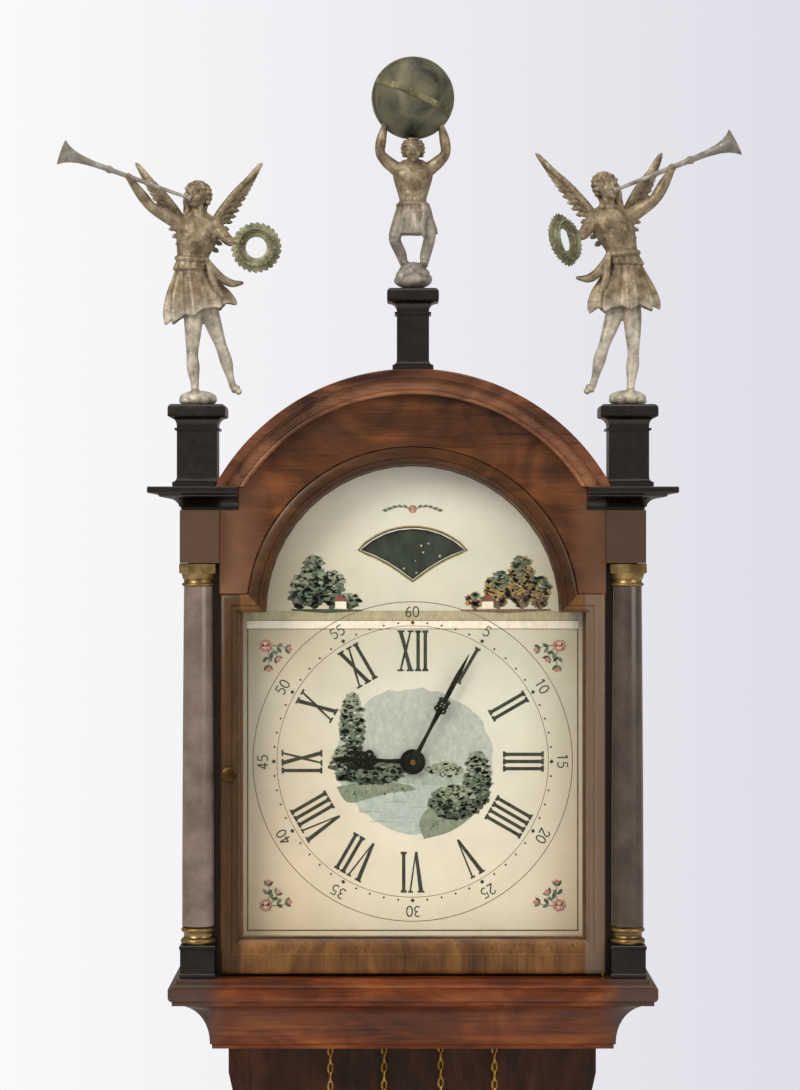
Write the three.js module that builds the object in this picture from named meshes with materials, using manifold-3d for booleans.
// Frisian tail clock: a wall clock with an arched hood, a long tail case and two weight-driven trains.
// Millimetres, +Z up. The wall is the plane y = 0 and the front faces -Y.
// The origin is on the wall face, on the centre line, level with the lower edge of the hood.
import * as THREE from "three";
import { mergeVertices } from "three/addons/utils/BufferGeometryUtils.js";
import Module from "manifold-3d";

const wasm = await Module();
wasm.setup();

// Clearances shared by the whole clock
const fit = 0.3;
const running = 0.5;
const overrun = 3;

// Tail: the long flat case that hides the pendulum
const board = {
  thick: 12,
  hoodGap: 1,
  underCornice: 18,
  hangHoleRadius: 6,
  hangHoleDrop: 34,
};
const tail = {
  depth: 50,
  frontThick: 8,
  wall: 7,
  hoodInset: 6,
  shoulderDrop: 34,
  shoulderRun: 124,
  neckHalf: 84,
  bulgeRun: 103,
  bulgeHalf: 119,
  bulgeAboveBob: 30,
  waistRun: 111,
  waistHalf: 84,
  footRun: 36,
  footHalf: 36,
  tipRun: 20,
  curveSteps: 10,
};
const bobWindow = {
  radius: 45,
  glassThick: 2,
  glassInset: 3,
  bezelInner: 42,
  bezelOuter: 53,
  bezelThick: 5,
};

// Weights, their chains and the small counterweight rings
const weight = { radius: 23, height: 165, gap: 7, neckRadius: 4, neckHeight: 12, edge: 5 };
const eye = { radius: 5, wire: 1.6 };
const chain = { radius: 1.6, fallRadius: 19.5, leftHook: 225, rightHook: 262, total: 1080 };
const counterRing = { radius: 9, wire: 3 };

// Movement: two vertical plates held apart by four pillars
const movement = {
  plateHalf: 88,
  plateThick: 3,
  plateGap: 64,
  below: 70,
  above: 100,
  chainFromFront: 23,
  pillarRadius: 5,
  pillarInset: 8,
  arborRadius: 1.6,
  pivotClearance: 0.3,
};
const pendulumFromWall = 38;

// Trains: teeth and modules, in the order that the power runs
const goingGreat = { teeth: 48, module: 1.5, face: 3, at: 12 };
const centrePinion = { teeth: 6, module: 1.5, face: 9, at: 9 };
const centreWheel = { teeth: 48, module: 1.25, face: 3, at: 40 };
const thirdPinion = { teeth: 6, module: 1.25, face: 9, at: 37 };
const thirdWheel = { teeth: 45, module: 1.1, face: 3, at: 30 };
const escapePinion = { teeth: 6, module: 1.1, face: 8, at: 28 };
const escapeWheel = { teeth: 33, tip: 19, root: 15.5, face: 2.5, at: 52 };
const strikingGreat = { teeth: 48, module: 1.5, face: 3, at: 31 };
const hammerPinion = { teeth: 8, module: 1.5, face: 8, at: 28.5 };
const hammerWheel = { teeth: 48, module: 1.15, face: 3, at: 46 };
const warningPinion = { teeth: 6, module: 1.15, face: 8, at: 43.5 };
const warningWheel = { teeth: 42, module: 1, face: 3, at: 30 };
const flyPinion = { teeth: 6, module: 1, face: 7, at: 28 };
const cannonPinion = { teeth: 10, module: 1.4, face: 2.4, at: 3 };
const minuteWheel = { teeth: 30, module: 1.4, face: 2.4, at: 3 };
const minutePinion = { teeth: 8, module: 1.4, face: 4.8, at: 5.3 };
const hourWheel = { teeth: 32, module: 1.4, face: 2.4, at: 7 };

// Where one arbor lies from the one before it, in degrees
const greatAngle = 189;
const thirdAngle = 114.5;
const hammerAngle = 73.5;
const warningAngle = 117;
const flyAngle = 45;
const minuteAngle = 225;

const rim = { thick: 3.2, spokeHalf: 1.7, hub: 6 };
const stud = { radius: 2, clearance: 0.4 };
const sprocket = { at: 17, width: 12, groove: 5.4, flange: 22, core: 17.2, bore: 3.2 };
const greatArborRadius = 2.6;
const hammerPins = { count: 13, circle: 20, radius: 1.2, length: 5, sides: 5 };
const countWheel = { radius: 32, depth: 4, notches: 12, thick: 2.4, behind: 3 };
const fly = { half: 16, thick: 1.2, length: 17, at: 8 };
const anchor = { rise: 30, gap: 1.7, spanAngle: 48, bandThick: 5, face: 3.5, at: 51.5 };
const crutch = { drop: 60, radius: 1.4, behind: 6, forkGap: 0.6, forkWire: 1.3 };
const pendulum = {
  length: 820,
  rodRadius: 1.5,
  bobRadius: 35,
  bobThick: 15,
  bobEdge: 3,
  pinRadius: 1.2,
  pinHalf: 5,
  nutRadius: 4,
  nutHeight: 8,
  tail: 14,
};
const cock = { half: 6, thick: 6.5, slotHalf: 1.6, reach: 4 };
const bell = {
  radius: 36,
  height: 33,
  wall: 2.2,
  above: 22,
  crown: 9,
  standardWidth: 12,
  standardThick: 3,
  standardX: 24,
  armThick: 4,
  back: 33,
};
const hammer = {
  arborX: 78,
  arborUp: 70,
  tailAt: 50,
  tailFace: 4,
  tailGap: 1.8,
  armAt: 27,
  armFace: 2.6,
  armHalf: 1.5,
  elbowX: 66,
  elbowUp: 84,
  shoulderX: 60,
  shoulderUp: 116,
  headRadius: 5.5,
  headWidth: 9,
  headGap: 3,
  aboveRim: 6,
};

// Dial, hands and moon disc
const dial = {
  thick: 1.5,
  gap: 24,
  hidden: 6.5,
  hiddenBelow: 10,
  hiddenArch: 7,
  archAbove: 106,
  centreHole: 6.5,
  footRadius: 4,
  footX: 75,
  footLow: 55,
  footHigh: 80,
};
const moonWindow = { half: 37, top: 59, corner: 44, notch: 23, humpRise: 5 };
const moonDisc = { teeth: 59, tip: 66, root: 63.2, thick: 1.2, behind: 1.2, studRadius: 2.5, studLength: 5 };
const hands = { thick: 1.2, pipeOuter: 4, pipeWall: 1.2, arborPast: 2 };
const hourHand = {
  outlineShares: [
    [0.22, 0.1], [0.2, 0.34], [0.62, 0.4], [0.36, 0.5], [1, 0.58], [0.92, 0.72], [0.42, 0.7], [0.3, 0.82],
    [0, 1],
  ],
  reach: 58,
  wide: 15,
  hub: 9,
  bore: hands.pipeOuter + fit,
  lift: 3.3,
  degrees: 272.3,
  eyeShare: 0.63,
};
const minuteHand = {
  outlineShares: [
    [0.3, 0.08], [0.26, 0.3], [0.8, 0.36], [0.46, 0.42], [1, 0.5], [0.8, 0.6], [0.3, 0.62], [0.24, 0.8],
    [0, 1],
  ],
  reach: 86,
  wide: 9,
  hub: 8,
  bore: stud.radius + fit,
  lift: 6.8,
  degrees: 27.6,
  eyeShare: 0.53,
};

// Seat that carries the movement
const seat = { thick: 12, hoodGap: 17.5, cheek: 12, rail: 11.7, railLow: 62, cheekLow: 36, chainSlot: 7 };

// Hood
const hood = {
  ledgeHalf: 170,
  ledgeThick: 17,
  ledgeOverhang: 29,
  baseTop: 52,
  baseWall: 9.5,
  baseProud: 3,
  sideInset: 12,
  sideThick: 11,
  wallGap: 1.5,
  maskThick: 8,
  handRoom: 11.5,
  fasciaProud: 13,
  blockInset: 8,
  blockProud: 26,
  blockTall: 37,
  corniceAboveArch: 72,
  corniceTall: 16,
  corniceOverhang: 22,
  corniceProud: 10,
  corniceClear: 6,
};
const mask = { reveal: 2, shoulder: 16.5, up: 26, toCentre: 122 };
const arch = { rise: 13, band: 23.5, width: 17.5, roofOver: 10.5, roofThick: 4, proud: 29 };
const door = {
  columnGap: 3,
  underGap: 2,
  rail: 23,
  stile: 13,
  thick: 14,
  gap: 0.6,
  pinRadius: 1.6,
  pinLength: 3,
  glassThick: 2,
  glassInset: 6,
  knobRadius: 6,
  knobLength: 12,
  knobUp: 140,
};
const sideWindow = { frontInset: 28, back: 45, bottomUp: 60, springDown: 82, glassThick: 2 };
const column = {
  inset: 20,
  radius: 11.2,
  plinthHalf: 12.5,
  plinthHeight: 22.5,
  capHeight: 7,
  collar: 3,
  collarRadius: 11.9,
  necking: 9.8,
};
const pedestal = { shaftHalf: 14, plateHalf: 20, height: 57, plateThick: 14, lip: 3 };
const middlePedestal = { shaftHalf: 11.2, plateHalf: 18, height: 59, plateThick: 16, lip: 3 };
const globe = { radius: 28, band: 1, bandHalf: 2.2, bandRoot: 6, tiltAngle: 24, rise: 133.5 };

// Carved figures. Points are [out, forward, up] from the foot of the figure. Rings of the loft are
// [out, forward, up, half width, half depth]. For a winged figure, out is away from the middle of the clock.
const angel = {
  hip: 60,
  crown: 150,
  mound: [[0, 0, 0, 14, 14], [0, 0, 5, 12.6, 12.6], [0, 0, 9, 7, 7]],
  body: [
    [-1, 0, 68, 25, 12],
    [0, 0, 75, 23, 12],
    [3, 0, 88, 15, 11],
    [4, 0, 100, 11, 9],
    [1, 0, 112, 14, 9.5],
    [0, 0, 124, 15.5, 9],
    [0, 0, 131, 9, 6],
    [0, 0.5, 135, 4.2, 4.2],
    [0, 1, 142, 4, 4],
  ],
  head: { at: [0.5, 1, 149], radii: [8.4, 9.4, 10.4] },
  standingLeg: { joints: [[2, 0, 6], [4, 1, 34], [3, 0, 70]], radii: [3.4, 4.6, 7] },
  standingFoot: { at: [2, 4, 8], radii: [3.4, 6.5, 3] },
  trailingLeg: { joints: [[-24, -5, 13], [-16, 0, 42], [-6, 0, 72]], radii: [3, 4.6, 7] },
  trailingFoot: { at: [-26, -3, 11], radii: [4.5, 4, 3] },
  trumpetArm: { joints: [[11, 0, 125], [30, 8, 138], [44, 12, 160]], radii: [5, 4, 3] },
  wreathArm: { joints: [[-11, 0, 125], [-22, 4, 114], [-29, 9, 113]], radii: [5, 3.8, 3] },
  trumpet: {
    joints: [[4, 9, 149], [74, 14, 168], [88, 15, 172.5], [94, 15.4, 174.4]],
    radii: [1.5, 2, 4.6, 9],
  },
  wreath: { hand: [-29, 9, 113], drop: 4, radius: 12, wire: 3 },
  wing: [
    [4, 114], [12, 132], [22, 146], [32, 158], [42, 168], [43, 160], [39, 157], [39, 150],
    [34, 148], [33, 141], [28, 139], [26, 132], [21, 130], [17, 121], [10, 111],
  ],
  wingThick: 3,
  wingBehind: 5,
};
const angelPoses = {
  left: { side: -1, lean: 0, stretchShare: 1, wreathAngle: 0 },
  right: { side: 1, lean: 16, stretchShare: 1.04, wreathAngle: 55 },
};
const atlas = {
  mound: [[0, 0, 0, 14, 14], [0, 0, 7, 13, 13], [0, 0, 18, 9, 9]],
  body: [
    [1, 2, 33, 15, 10],
    [0, 1, 42, 14, 10],
    [0, 0, 60, 9.5, 8],
    [0, 0, 74, 13, 9],
    [0, 1, 85, 15, 9.5],
    [0, 3, 91, 8, 6],
  ],
  head: { at: [0, 6, 95], radii: [7, 8.5, 9.5] },
  rightLeg: { joints: [[8, 1, 16], [12, 5, 36], [6, 0, 54]], radii: [3.4, 5, 7] },
  rightFoot: { at: [8, 4, 19], radii: [3.4, 6.5, 3] },
  leftLeg: { joints: [[-6, -4, 16], [-13, 7, 35], [-5, 0, 54]], radii: [3.4, 5, 7] },
  leftFoot: { at: [-6, -1, 19], radii: [3.4, 6.5, 3] },
  rightArm: { joints: [[12, 0, 84], [23, 3, 94], [20, 3, 115]], radii: [5, 4, 3.4] },
  leftArm: { joints: [[-12, 0, 84], [-23, 3, 95], [-20, 3, 115]], radii: [5, 4, 3.4] },
};

const sidesFine = 48;
const sidesWindow = 32;
const sidesRound = 16;
const sidesSmall = 8;
const sidesFigure = 6;
const sidesKnob = 12;
const sidesLoft = 10;
const degree = Math.PI / 180;

// Half widths, worked out from the hood's ledge inwards
const baseHalf = hood.ledgeHalf - hood.ledgeOverhang;
const baseInner = baseHalf - hood.baseWall;
const boardHalf = baseInner - board.hoodGap;
const tailHalf = baseHalf - tail.hoodInset;
const seatHalf = baseInner - seat.hoodGap;
const sideOuter = hood.ledgeHalf - hood.sideInset;
const sideInner = sideOuter - hood.sideThick;
const blockHalf = hood.ledgeHalf - hood.blockInset;
const corniceHalf = blockHalf + hood.corniceOverhang;
const columnX = hood.ledgeHalf - column.inset;
const doorHalf = columnX - column.plinthHalf - door.columnGap;
const maskHalf = doorHalf - door.stile - mask.reveal;
const maskRadius = maskHalf - mask.shoulder;
const doorRadius = maskRadius + door.stile;
const corniceInner = doorRadius + hood.corniceClear;
const dialHalf = maskHalf + dial.hidden;
const dialRadius = maskRadius + dial.hiddenArch;
const archInner = doorRadius + arch.band;
const archOuter = archInner + arch.width;
const roofOuter = archInner + arch.roofOver;

// Heights above the hood's lower edge
const doorBottom = hood.baseTop + door.underGap;
const maskBottom = hood.baseTop + mask.up;
const dialBottom = maskBottom - dial.hiddenBelow;
const dialCentre = maskBottom + mask.toCentre;
const plateLow = dialCentre - movement.below;
const plateHigh = dialCentre + movement.above;
const archCentre = dialCentre + dial.archAbove;
const hoodArchCentre = archCentre + arch.rise;
const corniceLow = archCentre + hood.corniceAboveArch;
const corniceHigh = corniceLow + hood.corniceTall;
const blockLow = corniceLow - hood.blockTall;
const boardTop = corniceLow - board.underCornice;
const crownTop = hoodArchCentre + archOuter;

// Depths, measured from the wall and growing towards the viewer
const tailFront = board.thick + tail.depth + tail.frontThick;
const chainDepth = tailFront + weight.gap + weight.radius;
const plateDepth = chainDepth + movement.chainFromFront;
const backPlateDepth = plateDepth - movement.plateGap;
const frontPlateFace = plateDepth + movement.plateThick;
const backPlateFace = backPlateDepth - movement.plateThick;
const dialBack = frontPlateFace + dial.gap;
const dialFace = dialBack + dial.thick;
const maskBack = dialFace + hood.handRoom;
const maskFront = maskBack + hood.maskThick;
const doorBack = maskFront + door.gap;
const doorFront = doorBack + door.thick;
const baseFront = maskFront + hood.baseProud;
const fasciaFront = maskFront + hood.fasciaProud;
const blockFront = maskFront + hood.blockProud;
const corniceFront = blockFront + hood.corniceProud;
const columnDepth = maskFront + fit + column.plinthHalf;

// Meshes

function solidFrom(geometry) {
  const plain = geometry.clone();
  plain.deleteAttribute("normal");
  plain.deleteAttribute("uv");
  const merged = mergeVertices(plain);
  const corners = merged.index.array;
  const kept = [];
  for (let i = 0; i < corners.length; i += 3) {
    const [a, b, c] = [corners[i], corners[i + 1], corners[i + 2]];
    if (a !== b && b !== c && c !== a) kept.push(a, b, c);
  }
  const build = (order) =>
    new wasm.Manifold(
      new wasm.Mesh({
        numProp: 3,
        vertProperties: merged.attributes.position.array,
        triVerts: new Uint32Array(order),
      }),
    );
  const solid = build(kept);
  if (solid.volume() > 0) return solid;
  return build(kept.reverse());
}

function geometryFrom(solid) {
  const mesh = solid.getMesh();
  const geometry = new THREE.BufferGeometry();
  geometry.setAttribute("position", new THREE.BufferAttribute(mesh.vertProperties, mesh.numProp));
  geometry.setIndex(new THREE.BufferAttribute(mesh.triVerts, 1));
  geometry.computeVertexNormals();
  return geometry;
}

const join = (...solids) => solids.flat().reduce((whole, piece) => whole.add(piece));
const cut = (whole, ...tools) => tools.flat().reduce((left, tool) => left.subtract(tool), whole);

// Basic solids. Depths are given as distances from the wall, so a depth d lies at y = -d.

function block(xLow, xHigh, depthNear, depthFar, zLow, zHigh) {
  const geometry = new THREE.BoxGeometry(xHigh - xLow, depthFar - depthNear, zHigh - zLow);
  geometry.translate((xLow + xHigh) / 2, -(depthNear + depthFar) / 2, (zLow + zHigh) / 2);
  return solidFrom(geometry);
}

// An outline in x and z, with any holes, made thick between two depths
function plank(outline, depthNear, depthFar, holes = []) {
  const shape = new THREE.Shape(outline);
  shape.holes = holes.map((hole) => new THREE.Path(hole));
  const options = { depth: depthFar - depthNear, bevelEnabled: false };
  const geometry = new THREE.ExtrudeGeometry(shape, options);
  geometry.rotateX(Math.PI / 2);
  geometry.translate(0, -depthNear, 0);
  return solidFrom(geometry);
}

// An outline in y and z, with any holes, made thick between two values of x
function panel(outline, xLow, xHigh, holes = []) {
  const shape = new THREE.Shape(outline);
  shape.holes = holes.map((hole) => new THREE.Path(hole));
  const options = { depth: xHigh - xLow, bevelEnabled: false };
  const geometry = new THREE.ExtrudeGeometry(shape, options);
  const turn = new THREE.Matrix4().makeBasis(
    new THREE.Vector3(0, 1, 0),
    new THREE.Vector3(0, 0, 1),
    new THREE.Vector3(1, 0, 0),
  );
  geometry.applyMatrix4(turn);
  geometry.translate(xLow, 0, 0);
  return solidFrom(geometry);
}

// A profile of [radius, height] turned about a vertical axis
function turned(profile, x, depth, z, sides = sidesRound) {
  const points = profile.map(([radius, height]) => new THREE.Vector2(radius, height));
  const geometry = new THREE.LatheGeometry(points, sides);
  geometry.rotateX(Math.PI / 2);
  geometry.translate(x, -depth, z);
  return solidFrom(geometry);
}

// A profile of [radius, depth] turned about an axis that runs from front to back
function turnedAlong(profile, x, z, sides = sidesRound) {
  const points = profile.map(([radius, depth]) => new THREE.Vector2(radius, -depth));
  const geometry = new THREE.LatheGeometry(points, sides);
  geometry.translate(x, 0, z);
  return solidFrom(geometry);
}

// A round bar from front to back
function bar(x, z, depthNear, depthFar, radius, sides = sidesSmall) {
  const geometry = new THREE.CylinderGeometry(radius, radius, depthFar - depthNear, sides);
  geometry.translate(x, -(depthNear + depthFar) / 2, z);
  return solidFrom(geometry);
}

// A round bar, or a cone, between two points given as [x, y, z]
function limb(from, to, radiusFrom, radiusTo, sides = sidesSmall) {
  const start = new THREE.Vector3(...from);
  const along = new THREE.Vector3(...to).sub(start);
  const length = along.length();
  const geometry = new THREE.CylinderGeometry(radiusTo, radiusFrom, length, sides);
  geometry.translate(0, length / 2, 0);
  const up = new THREE.Vector3(0, 1, 0);
  geometry.applyQuaternion(new THREE.Quaternion().setFromUnitVectors(up, along.normalize()));
  geometry.translate(...from);
  return solidFrom(geometry);
}

function ball(centre, radii, across = sidesFigure, down = 4) {
  const geometry = new THREE.SphereGeometry(1, across, down);
  geometry.rotateX(Math.PI / 2);
  geometry.scale(...radii);
  geometry.translate(...centre);
  return solidFrom(geometry);
}

// Rings of points, each the same length, skinned one to the next and closed at both ends
function skin(rings) {
  const count = rings[0].length;
  const positions = rings.flat().flatMap((point) => [point.x, point.y, point.z]);
  const faces = [];
  for (let ring = 0; ring + 1 < rings.length; ring += 1) {
    for (let i = 0; i < count; i += 1) {
      const a = ring * count + i;
      const b = ring * count + ((i + 1) % count);
      faces.push(a, b, b + count, a, b + count, a + count);
    }
  }
  const last = (rings.length - 1) * count;
  for (let i = 1; i + 1 < count; i += 1) {
    faces.push(0, i + 1, i);
    faces.push(last, last + i, last + i + 1);
  }
  const geometry = new THREE.BufferGeometry();
  geometry.setAttribute("position", new THREE.Float32BufferAttribute(positions, 3));
  geometry.setIndex(faces);
  return solidFrom(geometry);
}

// A square post whose half width follows a profile of [half, height]
function squarePost(profile, x, depth, z) {
  const ring = ([half, height]) => [
    new THREE.Vector3(x - half, -depth - half, z + height),
    new THREE.Vector3(x + half, -depth - half, z + height),
    new THREE.Vector3(x + half, -depth + half, z + height),
    new THREE.Vector3(x - half, -depth + half, z + height),
  ];
  return skin(profile.map(ring));
}

// A tube through a list of [x, y, z] points, with its radius at each point
function tube(points, radii, sides) {
  const centre = points.map((point) => new THREE.Vector3(...point));
  const towardsViewer = new THREE.Vector3(0, -1, 0);
  const rings = centre.map((point, i) => {
    const before = centre[Math.max(i - 1, 0)];
    const after = centre[Math.min(i + 1, centre.length - 1)];
    const along = after.clone().sub(before).normalize();
    const across = along.clone().cross(towardsViewer).normalize();
    const other = along.clone().cross(across);
    return Array.from({ length: sides }, (_, k) => {
      const angle = (2 * Math.PI * k) / sides;
      const offset = across.clone().multiplyScalar(radii[i] * Math.cos(angle));
      offset.addScaledVector(other, radii[i] * Math.sin(angle));
      return point.clone().add(offset);
    });
  });
  return skin(rings);
}

// Outlines

// The corner radius of a polygon whose flats clear a circle
const clearOf = (radius, sides) => (radius + fit) / Math.cos(Math.PI / sides);
const flat = (x, z) => new THREE.Vector2(x, z);
const pitchRadiusOf = (gear) => (gear.module * gear.teeth) / 2;

function circle(x, z, radius, sides = sidesRound) {
  return Array.from({ length: sides }, (_, i) => polar(x, z, radius, (2 * Math.PI * (i + 0.5)) / sides));
}

const polar = (x, z, radius, angle) => flat(x + radius * Math.cos(angle), z + radius * Math.sin(angle));

function arc(x, z, radius, fromAngle, toAngle, steps) {
  return Array.from({ length: steps + 1 }, (_, i) =>
    polar(x, z, radius, fromAngle + ((toAngle - fromAngle) * i) / steps),
  );
}

// A square-shouldered opening with a round head, as on the dial, the door and the mask
function archedOutline(half, bottom, shoulder, radius, steps = 24) {
  const start = Math.asin((shoulder - archCentre) / radius);
  return [
    flat(-half, bottom),
    flat(half, bottom),
    flat(half, shoulder),
    ...arc(0, archCentre, radius, start, Math.PI - start, steps),
    flat(-half, shoulder),
  ];
}

// Toothed outlines, as shares of the module and of the pitch. Wheel teeth are pointed with V-shaped
// spaces between them, and pinion leaves are thin with a flat space between them.
const toothShares = { tip: 0.8, root: 1.3, tipHalf: 0.06 };
const leafShares = { tip: 0.7, root: 1.2, tipHalf: 0.08, rootHalf: 0.18 };

function toothedOutline(gear, phase, shares) {
  const tip = pitchRadiusOf(gear) + shares.tip * gear.module;
  const root = pitchRadiusOf(gear) - shares.root * gear.module;
  const pitch = (2 * Math.PI) / gear.teeth;
  return Array.from({ length: gear.teeth }, (_, i) => phase + i * pitch).flatMap((middle) => {
    const point = [
      polar(0, 0, tip, middle - shares.tipHalf * pitch),
      polar(0, 0, tip, middle + shares.tipHalf * pitch),
    ];
    if (!shares.rootHalf) return [...point, polar(0, 0, root, middle + pitch / 2)];
    const foot = shares.rootHalf * pitch;
    return [polar(0, 0, root, middle - foot), ...point, polar(0, 0, root, middle + foot)];
  });
}

// The four windows between the spokes of a crossed-out wheel
function crossings(rimRadius, turn = 0) {
  const spokes = 4;
  return Array.from({ length: spokes }, (_, i) => {
    const start = turn + (2 * Math.PI * i) / spokes;
    const end = start + (2 * Math.PI) / spokes;
    const outerSlip = Math.asin(rim.spokeHalf / rimRadius);
    const innerSlip = Math.asin(rim.spokeHalf / rim.hub);
    return [
      ...arc(0, 0, rimRadius, start + outerSlip, end - outerSlip, 3),
      ...arc(0, 0, rim.hub, end - innerSlip, start + innerSlip, 1),
    ];
  });
}

const shifted = (outline, [x, z]) => outline.map((point) => flat(point.x + x, point.y + z));
const centreDistance = (a, b) => pitchRadiusOf(a) + pitchRadiusOf(b);
const towards = ([x, z], distance, angle) => [x + distance * Math.cos(angle), z + distance * Math.sin(angle)];
const directionOf = ([x1, z1], [x2, z2]) => Math.atan2(z2 - z1, x2 - x1);

// Where every arbor stands, as [x, z]
const centreAt = [0, dialCentre];
const goingGreatAt = towards(centreAt, centreDistance(goingGreat, centrePinion), greatAngle * degree);
const strikingGreatAt = [-goingGreatAt[0], goingGreatAt[1]];
const thirdAt = towards(centreAt, centreDistance(centreWheel, thirdPinion), thirdAngle * degree);
const escapeDistance = centreDistance(thirdWheel, escapePinion);
const escapeAt = towards(thirdAt, escapeDistance, Math.acos(-thirdAt[0] / escapeDistance));
const anchorAt = [escapeAt[0], escapeAt[1] + anchor.rise];
const hammerDistance = centreDistance(strikingGreat, hammerPinion);
const hammerWheelAt = towards(strikingGreatAt, hammerDistance, hammerAngle * degree);
const warningDistance = centreDistance(hammerWheel, warningPinion);
const warningAt = towards(hammerWheelAt, warningDistance, warningAngle * degree);
const flyAt = towards(warningAt, centreDistance(warningWheel, flyPinion), flyAngle * degree);
const hammerAt = [hammer.arborX, dialCentre + hammer.arborUp];
const minuteWheelAt = towards(centreAt, centreDistance(cannonPinion, minuteWheel), minuteAngle * degree);
const pillarsAt = [-1, 1].flatMap((side) => [
  [side * (movement.plateHalf - movement.pillarInset), plateLow + movement.pillarInset],
  [side * (movement.plateHalf - movement.pillarInset), plateHigh - movement.pillarInset],
]);
const atDepth = (fromPlate) => plateDepth - fromPlate;

// How far the tail's features hang below the hood's lower edge, with its bulge round the pendulum's bob
const bobDrop = pendulum.length - anchorAt[1];
const neckTop = tail.shoulderDrop + tail.shoulderRun;
const bulgeDrop = bobDrop - tail.bulgeAboveBob;
const neckBottom = bulgeDrop - tail.bulgeRun;
const waistDrop = bulgeDrop + tail.waistRun;
const footDrop = waistDrop + tail.footRun;
const tipDrop = footDrop + tail.tipRun;

// The tail's outline, from the shoulder down to the tip, right half only. Each bend runs to a point and
// gives its two control points as shares of the way there, [across, down].
const tailBends = [
  { to: [tail.neckHalf, neckTop], shares: [[0.18, 0.48], [0.94, 0.5]] },
  { to: [tail.neckHalf, neckBottom], straight: true },
  { to: [tail.bulgeHalf, bulgeDrop], shares: [[0, 0.4], [0.85, 0.45]] },
  { to: [tail.waistHalf, waistDrop], shares: [[-0.17, 0.38], [0.1, 0.84]] },
  { to: [tail.footHalf, footDrop], shares: [[0.62, 0], [0.66, 1]] },
  { to: [0, tipDrop], shares: [[0.4, 0], [0.5, 1]] },
];

function tailHalfOutline(top) {
  const path = new THREE.Path();
  path.moveTo(tailHalf, top);
  path.lineTo(tailHalf, -tail.shoulderDrop);
  let [half, drop] = [tailHalf, tail.shoulderDrop];
  for (const bend of tailBends) {
    const [nextHalf, nextDrop] = bend.to;
    if (bend.straight) {
      path.lineTo(nextHalf, -nextDrop);
    } else {
      const [first, second] = bend.shares.map(([across, down]) => [
        half + (nextHalf - half) * across,
        -(drop + (nextDrop - drop) * down),
      ]);
      path.bezierCurveTo(...first, ...second, nextHalf, -nextDrop);
    }
    [half, drop] = bend.to;
  }
  return path.getPoints(tail.curveSteps);
}

// The same outline moved inwards by a wall's thickness
function insetOutline(points, wall) {
  return points.map((point, i) => {
    const before = points[Math.max(i - 1, 0)];
    const after = points[Math.min(i + 1, points.length - 1)];
    const along = after.clone().sub(before).normalize();
    return flat(point.x + along.y * wall, point.y - along.x * wall);
  });
}

const mirrored = (points) => points.map((point) => flat(-point.x, point.y)).reverse();
const tailOutline = tailHalfOutline(-fit);
const tailWhole = [...tailOutline, ...mirrored(tailOutline.slice(0, -1))];

function makeBackboard() {
  const outline = [flat(-boardHalf, boardTop), flat(-boardHalf, -fit)].reverse();
  const whole = [flat(boardHalf, boardTop), flat(boardHalf, -fit), ...tailWhole, ...outline];
  const hole = circle(0, boardTop - board.hangHoleDrop, board.hangHoleRadius);
  return plank(whole, 0, board.thick, [hole]);
}

function makeTailFront() {
  const hole = circle(0, -bobDrop, bobWindow.radius, sidesWindow);
  return plank(tailWhole, tailFront - tail.frontThick, tailFront, [hole]);
}

function makeTailSide(side) {
  const inner = insetOutline(tailOutline, tail.wall);
  const limit = fit / 2;
  const loop = [...tailOutline, ...inner.reverse()];
  const ring = loop.map((point) => flat(side * Math.max(point.x, limit), point.y));
  return plank(ring, board.thick + fit, tailFront - tail.frontThick - fit);
}

function makeBobWindowBezel() {
  const near = tailFront + fit;
  const far = near + bobWindow.bezelThick;
  const bead = bobWindow.bezelThick / 2;
  const profile = [
    [bobWindow.bezelInner, near],
    [bobWindow.bezelInner, far - bead],
    [bobWindow.bezelInner + bead, far],
    [bobWindow.bezelOuter - bead, far],
    [bobWindow.bezelOuter, near + bead],
    [bobWindow.bezelOuter, near],
    [bobWindow.bezelInner, near],
  ];
  return turnedAlong(profile, 0, -bobDrop, sidesWindow);
}

function makeBobWindowGlass() {
  const near = tailFront - bobWindow.glassInset - bobWindow.glassThick;
  const outline = circle(0, -bobDrop, bobWindow.radius - fit, sidesWindow);
  return plank(outline, near, near + bobWindow.glassThick);
}

// Seat: a board on two cheeks that a rail ties together against the backboard

function makeSeatBoard() {
  const near = pendulumFromWall + pendulum.rodRadius + seat.cheek / 2;
  const far = frontPlateFace + seat.cheek;
  const whole = block(-seatHalf, seatHalf, near, far, plateLow - seat.thick, plateLow);
  const falls = chainFalls().map((x) =>
    block(
      x - seat.chainSlot,
      x + seat.chainSlot,
      chainDepth - seat.chainSlot,
      chainDepth + seat.chainSlot,
      plateLow - seat.thick - overrun,
      plateLow + overrun,
    ),
  );
  return cut(whole, falls);
}

function makeSeatBrackets() {
  const under = plateLow - seat.thick - fit;
  const near = board.thick + fit;
  const outer = seatHalf - fit;
  const cheekFront = frontPlateFace + seat.cheek / 2;
  const side = [
    flat(-near, seat.cheekLow),
    flat(-near - seat.cheek * 2, seat.cheekLow),
    flat(-cheekFront, under - seat.cheek * 2),
    flat(-cheekFront, under),
    flat(-near, under),
  ];
  const rail = block(-outer, outer, near, near + seat.rail, seat.railLow, under);
  return join(rail, panel(side, outer - seat.cheek, outer), panel(side, -outer, -outer + seat.cheek));
}

// Movement frame

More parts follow.
